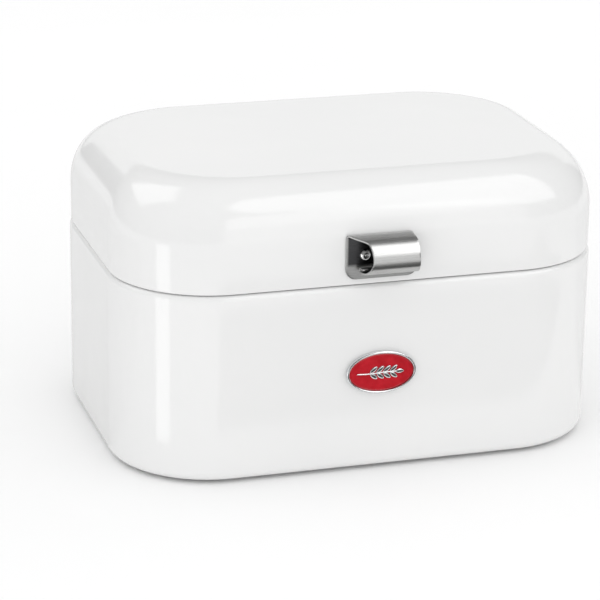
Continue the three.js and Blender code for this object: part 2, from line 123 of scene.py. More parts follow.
def bmesh_of(points, faces):
    """A bmesh with doubled points merged, flat slivers dropped and its faces turned out."""
    mesh = bmesh.new()
    corners = [mesh.verts.new(point) for point in points]
    for face in faces:
        if len(set(face)) > 2:
            mesh.faces.new([corners[i] for i in face])
    bmesh.ops.remove_doubles(mesh, verts=mesh.verts, dist=1e-7)
    bmesh.ops.dissolve_degenerate(mesh, edges=mesh.edges, dist=1e-8)
    bmesh.ops.recalc_face_normals(mesh, faces=mesh.faces)
    return mesh


def loft(rings, closed=False):
    """A skin through rings of equal count. It is capped at both ends, or joined end to end."""
    count = len(rings[0])
    points = [point for ring in rings for point in ring]
    faces = []
    for k in range(len(rings) if closed else len(rings) - 1):
        here, there = k * count, (k + 1) % len(rings) * count
        for i in range(count):
            j = (i + 1) % count
            faces.append((here + i, here + j, there + j, there + i))
    if not closed:
        faces.append(tuple(reversed(range(count))))
        faces.append(tuple(range(len(points) - count, len(points))))
    return bmesh_of(points, faces)


def lathe(profile, axis="z", at=(0, 0, 0), steps=48):
    """A turned piece. Its profile, (radius, place along the axis), starts and ends on the axis
    or closes on itself."""
    order = {"x": (2, 0, 1), "y": (0, 2, 1), "z": (0, 1, 2)}[axis]
    rings = []
    for i in range(steps):
        turn = 2 * math.pi * i / steps
        ring = []
        for radius, along in profile:
            spot = (radius * math.cos(turn), radius * math.sin(turn), along)
            ring.append(Vector(spot[k] for k in order) + Vector(at))
        rings.append(ring)
    return loft(rings, closed=True)


def swept(outline, start, end):
    """An outline in Y and Z, swept along X."""
    return loft([[(x, y, z) for y, z in outline] for x in (start, end)])


def sheet(path, columns, solid=lambda row, column: True):
    """A bent sheet. Its path holds pairs of points in Y and Z, one on each face; columns gives
    the places along X for a row of the path; solid tells which cells of the grid are there."""
    rows = [columns(k) for k in range(len(path))]
    width = len(rows[0])
    points = [(x, *face[side]) for face, row in zip(path, rows) for x in row for side in (0, 1)]

    def corner(row, column, side):
        return 2 * (row * width + column) + side

    def there(row, column):
        return 0 <= row < len(path) - 1 and 0 <= column < width - 1 and solid(row, column)

    faces = []
    for k in range(len(path) - 1):
        for i in range(width - 1):
            if not there(k, i):
                continue
            around = ((k, i), (k, i + 1), (k + 1, i + 1), (k + 1, i))
            faces.append([corner(*spot, 0) for spot in around])
            faces.append([corner(*spot, 1) for spot in reversed(around)])
            beside = ((k - 1, i), (k, i + 1), (k + 1, i), (k, i - 1))
            for m, cell in enumerate(beside):
                if not there(*cell):
                    a, b = around[m], around[(m + 1) % 4]
                    faces.append([corner(*b, 0), corner(*a, 0), corner(*a, 1), corner(*b, 1)])
    mesh = bmesh_of(points, faces)
    bmesh.ops.delete(mesh, geom=[v for v in mesh.verts if not v.link_faces], context="VERTS")
    return mesh


def joined(*meshes):
    """Several bmeshes as one."""
    whole = bmesh.new()
    for mesh in meshes:
        data = bpy.data.meshes.new("part")
        mesh.to_mesh(data)
        mesh.free()
        whole.from_mesh(data)
        bpy.data.meshes.remove(data)
    return whole


def round_edges(mesh, radius, segments=2, angle=40):
    """Rounds every edge whose faces meet at more than an angle."""
    limit = math.radians(angle)
    edges = [e for e in mesh.edges if len(e.link_faces) == 2 and e.calc_face_angle() > limit]
    bmesh.ops.bevel(
        mesh, geom=edges, offset=radius, segments=segments, profile=0.5, affect="EDGES",
        clamp_overlap=True,
    )
    return mesh


def cut(mesh, other):
    """One bmesh cut by another."""
    objects = []
    for part in (mesh, other):
        data = bpy.data.meshes.new("working")
        part.to_mesh(data)
        part.free()
        objects.append(bpy.data.objects.new("working", data))
        bpy.context.scene.collection.objects.link(objects[-1])
    modifier = objects[0].modifiers.new("cut", "BOOLEAN")
    modifier.operation, modifier.object, modifier.solver = "DIFFERENCE", objects[1], "EXACT"
    bpy.context.view_layer.update()
    evaluated = objects[0].evaluated_get(bpy.context.evaluated_depsgraph_get())
    result = bmesh.new()
    result.from_mesh(evaluated.to_mesh())
    for part in objects:
        data = part.data
        bpy.data.objects.remove(part)
        bpy.data.meshes.remove(data)
    return result


def add(node, mesh, sharp=35, look=None):
    """The fine piece that stands for a CAD node, with the node's body, slot and material."""
    data = bpy.data.meshes.new(node + "_fine")
    mesh.to_mesh(data)
    mesh.free()
    data.shade_smooth()
    data.set_sharp_from_angle(angle=math.radians(sharp))
    data.materials.append(material_for(look or slot_of[node]))
    piece = bpy.data.objects.new(node + "_fine", data)
    bpy.context.scene.collection.objects.link(piece)
    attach(piece, body_of[node])
    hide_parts(node)
    return piece


# ---------------------------------------------------------------- materials
def new_material(name):
    """A material, with what is needed to wire it up. The CAD has the plain name already."""
    material = bpy.data.materials.new(name + "_fine")
    material.use_nodes = True
    nodes = material.node_tree.nodes
    return material, nodes, material.node_tree.links, nodes["Principled BSDF"]


def noise(nodes, links, scale, detail=3, stretch=(1, 1, 1)):
    """Noise in the object's own space, in metres, its scale in waves a metre."""
    place = nodes.new("ShaderNodeTexCoord")
    mapping = nodes.new("ShaderNodeMapping")
    mapping.inputs["Scale"].default_value = stretch
    texture = nodes.new("ShaderNodeTexNoise")
    texture.inputs["Scale"].default_value = scale
    texture.inputs["Detail"].default_value = detail
    links.new(place.outputs["Object"], mapping.inputs["Vector"])
    links.new(mapping.outputs["Vector"], texture.inputs["Vector"])
    return texture.outputs["Fac"]


def ramp(nodes, links, source, stops):
    """A colour ramp; stops are (place, colour or grey)."""
    node = nodes.new("ShaderNodeValToRGB")
    elements = node.color_ramp.elements
    while len(elements) < len(stops):
        elements.new(0.5)
    for element, (place, value) in zip(elements, stops):
        element.position = place
        element.color = (value,) * 3 + (1,) if isinstance(value, float) else (*value, 1)
    links.new(source, node.inputs["Fac"])
    return node.outputs["Color"]


def bump(nodes, links, height, strength, distance, onto=None):
    """A normal that follows a height, on top of another where there is one."""
    node = nodes.new("ShaderNodeBump")
    node.inputs["Strength"].default_value = strength
    node.inputs["Distance"].default_value = distance
    links.new(height, node.inputs["Height"])
    if onto:
        links.new(onto, node.inputs["Normal"])
    return node.outputs["Normal"]


def white_enamel():
    """Vitreous enamel: glassy, a trace of flow in the colour and a faint orange peel."""
    material, nodes, links, shader = new_material("white_enamel")
    flow = noise(nodes, links, 9, 2)
    whites = [(0.3, (0.815, 0.817, 0.815)), (0.7, (0.835, 0.835, 0.832))]
    links.new(ramp(nodes, links, flow, whites), shader.inputs["Base Color"])
    haze = noise(nodes, links, 60, 4)
    links.new(ramp(nodes, links, haze, [(0.3, 0.10), (0.7, 0.16)]), shader.inputs["Roughness"])
    wave = bump(nodes, links, noise(nodes, links, 22, 1), 0.25, 0.0004)
    peel = bump(nodes, links, noise(nodes, links, 420, 2), 0.06, 0.0001, wave)
    links.new(peel, shader.inputs["Normal"])
    return material


def brushed(name, colours, roughness, stretch, strength=0.03):
    """Brushed metal: noise drawn out along the brushing."""
    material, nodes, links, shader = new_material(name)
    fine = noise(nodes, links, 1, 3, stretch)
    broad = noise(nodes, links, 1, 2, tuple(s * 0.22 for s in stretch))
    links.new(ramp(nodes, links, broad, [(0.3, colours[0]), (0.7, colours[1])]),
              shader.inputs["Base Color"])
    links.new(ramp(nodes, links, fine, [(0.25, roughness[0]), (0.75, roughness[1])]),
              shader.inputs["Roughness"])
    links.new(bump(nodes, links, fine, strength, 0.00002), shader.inputs["Normal"])
    shader.inputs["Metallic"].default_value = 1
    return material


# Painted shade: the handle's plate is coloured dark inside the roll, where it lies in shade; how
# much so at places along each axis.
SHADE_PATCH_STOPS = {
    "X": ((-0.0212, 0), (-0.0200, 1), (0.0160, 1), (0.0165, 0)),
    "Y": ((lid_low.y - 0.0018, 0), (lid_low.y - 0.0016, 1), (lid_low.y - 0.001, 1),
          (lid_low.y, 0)),
    "Z": ((0.1216, 0), (0.1236, 1), (0.1394, 1), (0.1404, 0)),
}
# the dark grey of the painted shade
SHADE_PATCH_COLOUR = (0.085, 0.085, 0.088, 1)


def within(nodes, links, place, axis, stops):
    """A share that follows stops, (place, share), along one axis."""
    low, high = stops[0][0], stops[-1][0]
    split = nodes.new("ShaderNodeSeparateXYZ")
    share = nodes.new("ShaderNodeMapRange")
    share.inputs["From Min"].default_value = low
    share.inputs["From Max"].default_value = high
    links.new(place, split.inputs["Vector"])
    links.new(split.outputs[axis], share.inputs["Value"])
    spots = [((at - low) / (high - low), float(value)) for at, value in stops]
    return ramp(nodes, links, share.outputs["Result"], spots)


def brushed_stainless():
    """The handle's sheet, brushed along X, with painted shade on its plate inside the roll."""
    material = brushed("brushed_stainless", ((0.49, 0.49, 0.485), (0.55, 0.55, 0.545)),
                       (0.24, 0.34), (60, 9000, 9000))
    nodes, links = material.node_tree.nodes, material.node_tree.links
    place = nodes.new("ShaderNodeTexCoord").outputs["Object"]
    mask = None
    for axis, stops in SHADE_PATCH_STOPS.items():
        band = within(nodes, links, place, axis, stops)
        if mask:
            both = nodes.new("ShaderNodeMath")
            both.operation = "MULTIPLY"
            links.new(mask, both.inputs[0])
            links.new(band, both.inputs[1])
            band = both.outputs["Value"]
        mask = band
    colour = nodes["Principled BSDF"].inputs["Base Color"]
    tint = nodes.new("ShaderNodeMix")
    tint.data_type = "RGBA"
    # a mix node has sockets for every kind of value; these are the factor and the two colours
    factor, bright, dark = (tint.inputs[k] for k in (0, 6, 7))
    # painted shade: inside the roll the plate's colour is mixed towards the dark grey
    dark.default_value = SHADE_PATCH_COLOUR
    links.new(mask, factor)
    links.new(colour.links[0].from_socket, bright)
    links.new(tint.outputs[2], colour)
    return material


def bright_steel():
    """The stainless of the blind rivets, its colour set far brighter than the handle's: painted
    light for the light that they catch.
    """
    return brushed("bright_steel", ((0.76, 0.76, 0.76), (0.84, 0.84, 0.84)), (0.18, 0.28),
                   (1800, 1800, 1800))


def zinc_plate():
    """Zinc plate, dull and even in every direction."""
    return brushed("zinc_plate", ((0.62, 0.63, 0.65), (0.72, 0.73, 0.74)), (0.26, 0.40),
                   (900, 900, 900), 0.08)


def chrome():
    """Bright plating with hairline polishing marks."""
    material, nodes, links, shader = new_material("chrome")
    marks = noise(nodes, links, 1, 4, (500, 3500, 2500))
    links.new(ramp(nodes, links, marks, [(0.3, 0.06), (0.7, 0.14)]), shader.inputs["Roughness"])
    links.new(ramp(nodes, links, marks, [(0.2, (0.72, 0.73, 0.74)), (0.8, (0.80, 0.81, 0.82))]),
              shader.inputs["Base Color"])
    shader.inputs["Metallic"].default_value = 1
    return material


def red_enamel():
    """Glassy red enamel, poured a little thicker in places."""
    material, nodes, links, shader = new_material("red_enamel")
    pour = noise(nodes, links, 220, 2)
    links.new(ramp(nodes, links, pour, [(0.3, (0.42, 0.008, 0.016)), (0.7, (0.52, 0.014, 0.025))]),
              shader.inputs["Base Color"])
    links.new(ramp(nodes, links, noise(nodes, links, 500, 2), [(0.3, 0.08), (0.7, 0.16)]),
              shader.inputs["Roughness"])
    links.new(bump(nodes, links, pour, 0.1, 0.0001), shader.inputs["Normal"])
    shader.inputs["Coat Weight"].default_value = 0.3
    shader.inputs["Coat Roughness"].default_value = 0.03
    return material


def rubber():
    """Moulded rubber with a fine matt grain."""
    material, nodes, links, shader = new_material("rubber")
    grain = noise(nodes, links, 2600, 3)
    links.new(ramp(nodes, links, noise(nodes, links, 240, 3),
                   [(0.3, (0.025, 0.025, 0.026)), (0.7, (0.045, 0.044, 0.043))]),
              shader.inputs["Base Color"])
    links.new(ramp(nodes, links, grain, [(0.3, 0.62), (0.7, 0.8)]), shader.inputs["Roughness"])
    links.new(bump(nodes, links, grain, 0.4, 0.0001), shader.inputs["Normal"])
    return material


def silicone():
    """Milky silicone."""
    material, nodes, links, shader = new_material("silicone")
    milk = noise(nodes, links, 500, 2)
    links.new(ramp(nodes, links, milk, [(0.3, (0.68, 0.70, 0.70)), (0.7, (0.78, 0.79, 0.79))]),
              shader.inputs["Base Color"])
    links.new(ramp(nodes, links, milk, [(0.3, 0.35), (0.7, 0.5)]), shader.inputs["Roughness"])
    shader.inputs["Subsurface Weight"].default_value = 0.4
    shader.inputs["Subsurface Scale"].default_value = 0.002
    return material


MATERIALS = {
    make.__name__: make
    for make in (white_enamel, brushed_stainless, bright_steel, zinc_plate, chrome, red_enamel,
                 rubber, silicone)
}


def material_for(slot):
    """A slot's material, made when it is first asked for."""
    return bpy.data.materials.get(slot + "_fine") or MATERIALS[slot]()


# ---------------------------------------------------------------- the two shells
SEAM_CLOSE = 0.0002  # how far the rim and the lid's edge each reach into the seam
CORNER_STEPS, FRONT_STEPS, SIDE_STEPS = 24, 18, 10
ROW = 0.008
CAP_SHARES = (0.94, 0.8, 0.6, 0.4, 0.2, 0.08)


def plan_ring(half_x, half_y, corner, z):
    """A rectangle with round corners round the shells' middle, anticlockwise from above."""
    x, y = half_x - corner, half_y - corner
    centres = ((x, y), (-x, y), (-x, -y), (x, -y))
    arcs = [
        arc(centre, corner, 90 * k, 90 * (k + 1), CORNER_STEPS) for k, centre in enumerate(centres)
    ]
    ring = []
    for k, points in enumerate(arcs):
        straight = FRONT_STEPS if k % 2 == 0 else SIDE_STEPS
        ring += points + between(points[-1], arcs[(k + 1) % 4][0], straight)
    return [(u, middle_y + v, z) for u, v in ring]


def wall_rows(inset, start, end):
    """Rows up or down a wall, between two heights."""
    steps = max(2, round(abs(end - start) / ROW))
    return between((inset, start), (inset, end), steps)


def wall_ring(box, corner):
    """Rings at an inset from a shell's outer wall."""
    low, high = box
    half_x, half_y = (high.x - low.x) / 2, (high.y - low.y) / 2
    return lambda inset, z: plan_ring(half_x - inset, half_y - inset, corner - inset, z)


def towards_middle(ring, shares, lift=0):
    """A ring drawn in towards the middle, rising by lift in a shallow dome."""
    centre = Vector((0, middle_y))
    rings = []
    for share in shares:
        rise = lift * (1 - share * share)
        flat = [centre + (Vector(p[:2]) - centre) * share for p in ring]
        rings.append([(p.x, p.y, ring[0][2] + rise) for p in flat])
    return rings


def rounded_tip(outer, inner, steps=4):
    """Points round the end of a sheet, between its two faces."""
    a, b = Vector(outer), Vector(inner)
    middle, half = (a + b) / 2, (a - b) / 2
    out = Vector((half.y, -half.x))
    turns = [math.pi * i / steps for i in range(1, steps)]
    return [tuple(middle + half * math.cos(t) + out * math.sin(t)) for t in turns]


VENT_RADIUS = 0.0025
VENT_LIP = 0.0004
VENT_PITCH = 0.012
VENT_ROWS = ((0.092, 7), (0.082, 6))  # height and count


def vent_cutter():
    """Cutters for the rear wall's holes, flared so that their edges come out round."""
    outside, inside = tub_high.y, tub_high.y - SHEET
    wide = VENT_RADIUS + VENT_LIP
    flare = arc((wide, inside + VENT_LIP), VENT_LIP, 270, 180, 4)
    profile = [(0, inside - SHEET), (wide, inside - SHEET)] + flare
    profile += [(radius, inside + outside - y) for radius, y in reversed(flare)]
    profile += [(wide, outside + SHEET), (0, outside + SHEET)]
    holes = []
    for z, count in VENT_ROWS:
        for column in range(count):
            x = (column - (count - 1) / 2) * VENT_PITCH
            holes.append(lathe(profile, "y", (x, 0, z), 32))
    return joined(*holes)


def tub_shell():
    """The tub: from its bottom's edge up the outside, over the rolled rim and down inside."""
    ring = wall_ring((tub_low, tub_high), TUB_CORNER)
    bend = (BOTTOM_EDGE, tub_low.z + BOTTOM_EDGE)
    roll = (RIM, tub_high.z + SEAM_CLOSE - RIM)
    outer = arc(bend, BOTTOM_EDGE, 270, 180, 10)
    outer += wall_rows(0, bend[1], roll[1]) + arc(roll, RIM, 180, -50, 26)
    inner = arc(roll, RIM - SHEET, -50, 180, 20)
    inner += wall_rows(SHEET, roll[1], bend[1]) + arc(bend, BOTTOM_EDGE - SHEET, 180, 270, 8)
    profile = outer + rounded_tip(outer[-1], inner[0]) + inner
    walls = [ring(*spot) for spot in profile]
    below = towards_middle(walls[0], CAP_SHARES)
    above = towards_middle(walls[-1], CAP_SHARES)
    return cut(loft(list(reversed(below)) + walls + above), vent_cutter())


def lid_dome(inset, steps=30):
    """The shoulder, a quarter of an ellipse, and the crowned top."""
    half_x = (lid_high.x - lid_low.x) / 2 - inset
    half_y = (lid_high.y - lid_low.y) / 2 - inset
    rise = lid_high.z - CROWN - inset - SHOULDER_START
    rings = []
    for i in range(steps + 1):
        turn = math.pi / 2 * i / steps
        lean = 1 - math.cos(turn)
        corner = LID_CORNER - inset - (LID_CORNER - LID_TOP_CORNER) * lean
        z = SHOULDER_START + rise * math.sin(turn)
        rings.append(plan_ring(half_x - SHOULDER_X * lean, half_y - SHOULDER_Y * lean, corner, z))
    return rings + towards_middle(rings[-1], CAP_SHARES, CROWN)


def lid_shell():
    """The lid: from the middle of its inside down to the flange, round it, and up outside."""
    ring = wall_ring((lid_low, lid_high), LID_CORNER)
    edge = lid_low.z - SEAM_CLOSE
    bend = (FLANGE_BEND, edge + FLANGE_BEND)
    tip = [(FLANGE, edge), (FLANGE, edge + SHEET)]
    under = between(tip[0], (FLANGE_BEND, edge), 3)
    outer = tip[:1] + under + arc(bend, FLANGE_BEND, 270, 180, 8)
    outer += wall_rows(0, bend[1], SHOULDER_START)
    inner = wall_rows(SHEET, SHOULDER_START, bend[1])
    inner += arc(bend, FLANGE_BEND - SHEET, 180, 270, 4)
    inner += between((FLANGE_BEND, edge + SHEET), tip[1], 3) + tip[1:]
    round_tip = rounded_tip(tip[1], tip[0])
    rings = list(reversed(lid_dome(SHEET)))
    rings += [ring(*spot) for spot in inner + round_tip + outer]
    return loft(rings + lid_dome(0))


# ---------------------------------------------------------------- turned pieces
def domed(radius, rise, at):
    """Points down a rivet's head, from its crown on the axis to its rim."""
    rim = 0.1 * rise
    crown = arc((0, at), (radius, rise - rim), 90, 0, 8)
    return [(r, z + rim) for r, z in crown] + [(radius, at)]


def feet():
    """Push-in feet: a pad with soft edges, a ring moulded in its underside and a barb."""
    ring = [(0, 0.0006), (0.0042, 0.0006), (0.0046, 0.0004), (0.005, 0)]
    barb = [(0.0033, 0), (0.0035, 0.0004), (0.0026, 0.002), (0.0018, 0.003), (0, 0.0031)]
    pad, low_edge, high_edge, stem = 0.0075, 0.0007, 0.0003, 0.0022
    seat, inside = tub_low.z - PLAY, tub_low.z + SHEET + PLAY
    profile = ring + arc((pad - low_edge, low_edge), low_edge, 270, 360, 5)
    profile += arc((pad - high_edge, seat - high_edge), high_edge, 0, 90, 3)
    profile += [(stem, seat), (stem, inside)] + [(r, inside + z) for r, z in barb]
    for place in ("front_left", "front_right", "rear_left", "rear_right"):
        middle = middle_of("foot_" + place)
        add("foot_" + place, lathe(profile, "z", (middle.x, middle.y, 0)))


def bumpers():
    """Clear pads under the lid's flange, domed below and barbed above it."""
    radius, stem, barb, point, soft = 0.0021, 0.0008, 0.0015, 0.001, 0.0003
    under, above = lid_low.z - 0.0001, lid_low.z + SHEET + PLAY
    for hand in HANDS:
        low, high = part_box("lid_bumper_" + hand)
        middle = (low + high) / 2
        profile = [(0, low.z)] + arc((radius - soft, low.z + soft), soft, 270, 360, 4)
        profile += [(radius, under), (stem, under), (stem, above), (barb, above + 0.0001)]
        profile += [(point, high.z - 0.0004), (0, high.z)]
        add("lid_bumper_" + hand, lathe(profile, "z", (middle.x, middle.y, 0), 32))


def rear_rivets():
    """Solid rivets: a low dome on the leaf, a flat upset tail inside the wall."""
    head, rise, shank, tail, tail_height, soft = 0.0031, 0.0015, 0.0015, 0.0027, 0.0011, 0.0005
    rows = [(body, hand, place) for body in ("tub", "lid") for hand in HANDS
            for place in ("inner", "outer")]
    for body, hand, place in rows:
        node = f"{body}_rivet_{hand}_{place}"
        low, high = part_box(node)
        middle = (low + high) / 2
        seat, wall = high.y - rise, low.y + tail_height
        profile = domed(head, rise, seat)
        profile += [(shank, seat), (shank, wall), (tail, wall)]
        profile += arc((tail - soft, low.y + soft), soft, 0, -90, 4) + [(0, low.y)]
        add(node, lathe(profile, "y", (middle.x, 0, middle.z), 40))


def hinge_pins():
    """Pins with a soft-edged head at each end."""
    radius, head, thick, soft = 0.0014, 0.0023, 0.001, 0.0006
    for hand in HANDS:
        low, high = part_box("hinge_pin_" + hand)
        middle, half = (low.x + high.x) / 2, (high.x - low.x) / 2
        end = [(radius, half - thick), (head, half - thick)]
        end += arc((head - soft, half - soft), soft, 0, 90, 5) + [(0, half)]
        profile = [(r, middle - x) for r, x in reversed(end)] + [(r, middle + x) for r, x in end]
        add("hinge_pin_" + hand, lathe(profile, "x", (0, pin_y, pin_z), 32))


# ---------------------------------------------------------------- hinge leaves
# Heights on a leaf are distances from the pin's middle, upwards on the lid's leaf and
# downwards on the tub's.
KNUCKLE = 0.0027
LEAF = 0.0012
LEAF_LENGTH, LEAF_HALF, LEAF_CORNER = 0.020, 0.020, 0.003
KNUCKLE_HALF = 0.0077  # half the lid's knuckle; the tub's two start a gap further out
KNUCKLE_END = 0.008
NOTCH = 0.003
LEAF_STEP = 0.0008  # the lid's leaf steps back by this between two heights
STEP_LOW, STEP_HIGH = 0.0038, 0.0052
STEP_ROWS = (0.0052, 0.0048, 0.0044, 0.004, 0.0036)
# the heel's outline: millimetres from the pin's middle and degrees round it
HEEL_TURN = 97
HEEL = (
    (2.0, 20), (2.7, 20), (4.3, 5), (4.5, 2), (4.5, -3), (4.3, -6), (2.7, -34), (2.0, -34),
)


def leaf_columns(middle):
    """A leaf's columns along X at a height, drawn in at its far corners, and where they lie
    before that."""
    knuckle = [-KNUCKLE_HALF + 2 * KNUCKLE_HALF * i / 6 for i in range(7)]
    wing = LEAF_HALF - KNUCKLE_END
    right = [KNUCKLE_END + wing * i / 5 for i in range(6)]
    every = [-x for x in reversed(right)] + knuckle + right

    def columns(z):
        past = max(0, abs(z) - (LEAF_LENGTH - LEAF_CORNER))
        edge = LEAF_HALF - LEAF_CORNER + math.sqrt(max(0, LEAF_CORNER**2 - past * past))
        share = (edge - KNUCKLE_END) / wing
        row = []
        for x in every:
            beyond = max(0, abs(x) - KNUCKLE_END) * share
            row.append(middle + math.copysign(min(abs(x), KNUCKLE_END) + beyond, x))
        return row

    return columns, every


def hinge_leaf(node, up):
    """A leaf bent from one strip: a flat plate, and knuckles curled round the pin."""
    columns, places = leaf_columns(middle_of(node).x)
    step = LEAF_STEP if up > 0 else 0
    corner = [LEAF_CORNER * (1 - math.cos(math.radians(15 * i))) for i in range(6, -1, -1)]
    rows = {LEAF_LENGTH - inset for inset in corner} | {0.0165, 0.014, 0.011, 0.008, 0.0058}
    plate = sorted(rows, reverse=True) + list(STEP_ROWS)
    path, distances = [], []
    for z in plate + [NOTCH, 0.0015, 0]:
        share = min(1, max(0, (z - STEP_LOW) / (STEP_HIGH - STEP_LOW)))
        back = -KNUCKLE - step * share * share * (3 - 2 * share)
        path.append(((back, z), (back + LEAF, z)))
        distances.append(z)
    turns = arc((0, 0), KNUCKLE, 180, -145, 40)[1:]
    bore = arc((0, 0), KNUCKLE - LEAF, 180, -145, 40)[1:]
    path += list(zip(turns, bore))
    distances += [0] * len(turns)
    faces = [tuple((pin_y + y, pin_z + up * z) for y, z in pair) for pair in path]
    middles = [abs(a + b) / 2 for a, b in zip(places, places[1:])]
    reach = [place < KNUCKLE_HALF if up > 0 else place > KNUCKLE_END for place in middles]

    def solid(row, column):
        return row < len(plate) or reach[column]

    return round_edges(sheet(faces, lambda k: columns(distances[k]), solid), 0.00012, 1, 60)


def heel(node):
    """The lug on a lid's knuckle that meets the tub's leaf when the lid is right back."""
    middle = middle_of(node).x
    outline = []
    for millimetres, turn in HEEL:
        radius, angle = millimetres / 1000, math.radians(HEEL_TURN + turn)
        outline.append((pin_y + radius * math.sin(angle), pin_z + radius * math.cos(angle)))
    return swept(outline, middle - KNUCKLE_HALF, middle + KNUCKLE_HALF)


def hinges():
    """Both hinges, with their pins and rivets."""
    for hand in HANDS:
        tub_leaf, lid_leaf = "hinge_tub_leaf_" + hand, "hinge_lid_leaf_" + hand
        add(tub_leaf, hinge_leaf(tub_leaf, -1))
        lug = round_edges(heel(lid_leaf), 0.0002, 2, 25)
        add(lid_leaf, joined(hinge_leaf(lid_leaf, 1), lug))
    hinge_pins()
    rear_rivets()


# ---------------------------------------------------------------- the badge
BADGE = (0.0203, 0.0124)
BADGE_LIP = 0.0014
BADGE_FRONT, BADGE_FLOOR = 0.0028, 0.001  # reach of the lip and of the dish, from the wall
POST_RADIUS, POST_LENGTH, POST_X = 0.0014, 0.0045, 0.011
# the ear of wheat: its reach from the wall, half a grain's length, breadth and depth, the
# last grain's place, and for the pairs the first one's place, their pitch, spread and lean
EMBLEM_REACH = 0.00228
GRAIN_LENGTH, GRAIN_BREADTH, GRAIN_DEPTH = 0.0026, 0.00125, 0.00042
TIP_GRAIN = 0.0104
PAIRS, PAIR_START, PAIR_PITCH, PAIR_SPREAD, PAIR_LEAN = 4, 0.007, 0.0039, 0.0019, 38
STALK_START, STALK_LENGTH, STALK_RADIUS, STALK_BOW = -0.0145, 0.0235, 0.00036, 0.00035
# a clip's section: shares of the way from its teeth's tips to its rim, and distances off the
# wall's inside
CLIP_RADIUS, CLIP_GRIP, CLIP_SLIT, CLIP_TEETH = 0.0045, 0.00155, 0.0028, 6
CLIP = (
    (1, 0), (1, 0.0003), (0.96, 0.0004), (0.7, 0.0004), (0, 0.0008), (0, 0.0005), (0.7, 0),
)


def badge_frame():
    """The middle of the badge on the tub's front wall."""
    middle = middle_of("badge_bezel")
    return Vector((middle.x, tub_low.y, middle.z))


def oval(at, inset, reach, steps=96):
    """An oval ring at a distance inside the badge's edge, and forward of the wall."""
    a, b = BADGE[0] - inset, BADGE[1] - inset
    turns = [2 * math.pi * i / steps for i in range(steps)]
    return [(at.x + a * math.cos(t), at.y - reach, at.z + b * math.sin(t)) for t in turns]


def badge_bezel():
    """The dish that holds the enamel, its lip rounded over, and two posts behind it."""
    at = badge_frame()
    half, soft, crease = BADGE_LIP / 2, 0.0002, 0.0001
    lip = arc((half, BADGE_FRONT - half), half, 180, 0, 12)
    rings = [oval(at, soft, PLAY), oval(at, 0, PLAY + soft)]
    rings += [oval(at, *spot) for spot in lip]
    rings.append(oval(at, BADGE_LIP, BADGE_FLOOR + crease))
    rings.append(oval(at, BADGE_LIP + crease, BADGE_FLOOR))
    back = at.y + POST_LENGTH
    post = [(0, at.y), (POST_RADIUS, at.y), (POST_RADIUS, back - soft)]
    post += [(POST_RADIUS - soft, back), (0, back)]
    posts = [lathe(post, "y", (at.x + x, 0, at.z), 24) for x in (-POST_X, POST_X)]
    return joined(loft(rings), *posts)


def badge_enamel():
    """Enamel fired into the bezel, drawn up at its edge and a little full in the middle."""
    at = badge_frame()
    inset, back, edge, face = BADGE_LIP + 0.00015, 0.0013, 0.0017, 0.0019
    fullness, full_from, droop, droop_within = 0.00008, 0.006, 0.00012, 0.0003
    rings = [oval(at, inset, back), oval(at, inset, edge)]
    for across in (0.0003, 0.0008, 0.0018, 0.0035, 0.006, 0.009, 0.0105):
        reach = face + fullness * min(1, across / full_from)
        reach -= droop * math.exp(-across / droop_within)
        rings.append(oval(at, inset + across, reach))
    return loft(rings)


def grain(at, turn):
    """One plump grain with a crease down its middle."""
    mesh = bmesh.new()
    bmesh.ops.create_uvsphere(mesh, u_segments=24, v_segments=16, radius=1)
    for vert in mesh.verts:
        x, y, z = vert.co.z, vert.co.x, vert.co.y
        taper = 1 - 0.25 * x * x
        crease = 0.22 * math.exp(-(z / 0.22) ** 2) if y < 0 else 0
        vert.co = (x * GRAIN_LENGTH, y * GRAIN_DEPTH * (1 - crease), z * GRAIN_BREADTH * taper)
    mesh.transform(Matrix.Translation(at) @ Matrix.Rotation(turn, 4, "Y"))
    return mesh


def badge_emblem():
    """An ear of wheat along X: a stalk, four pairs of grains and one more at the tip."""
    at = badge_frame() - Vector((0, EMBLEM_REACH, 0))
    pieces = [grain(at + Vector((TIP_GRAIN, 0, 0)), 0)]
    for pair in range(PAIRS):
        for side in (-1, 1):
            place = Vector((PAIR_START - PAIR_PITCH * pair, 0, side * PAIR_SPREAD))
            pieces.append(grain(at + place, -side * math.radians(PAIR_LEAN)))
    stalk, steps, bowed = [], 24, 14
    for i in range(steps + 1):
        x = at.x + STALK_START + STALK_LENGTH * i / steps
        z = at.z - STALK_BOW * math.sin(math.pi * min(1, i / bowed))
        size = STALK_RADIUS if i else 0.0002
        around = arc((0, 0), 1, 0, 337.5, 15)
        stalk.append([(x, at.y + 0.0003 * u, z + size * v) for u, v in around])
    return joined(loft(stalk), *pieces)


def badge_clips():
    """Spring clips: a shallow disc with six teeth that grip the badge's post."""
    steps, slit = 120, 3
    for hand in HANDS:
        low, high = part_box("badge_clip_" + hand)
        middle = (low + high) / 2
        rings = []
        for share, off in CLIP:
            ring = []
            for i in range(steps):
                turn = 2 * math.pi * i / steps
                inner = CLIP_SLIT if i % (steps // CLIP_TEETH) < slit else CLIP_GRIP
                radius = inner + (CLIP_RADIUS - inner) * share
                x, z = middle.x + radius * math.cos(turn), middle.z + radius * math.sin(turn)
                ring.append((x, low.y + off, z))
            rings.append(ring)
        add("badge_clip_" + hand, loft(rings, closed=True))


def badge():
    """The badge and the clips that hold it."""
    add("badge_bezel", badge_bezel())
    add("badge_enamel", badge_enamel())
    add("badge_emblem", badge_emblem())
    badge_clips()


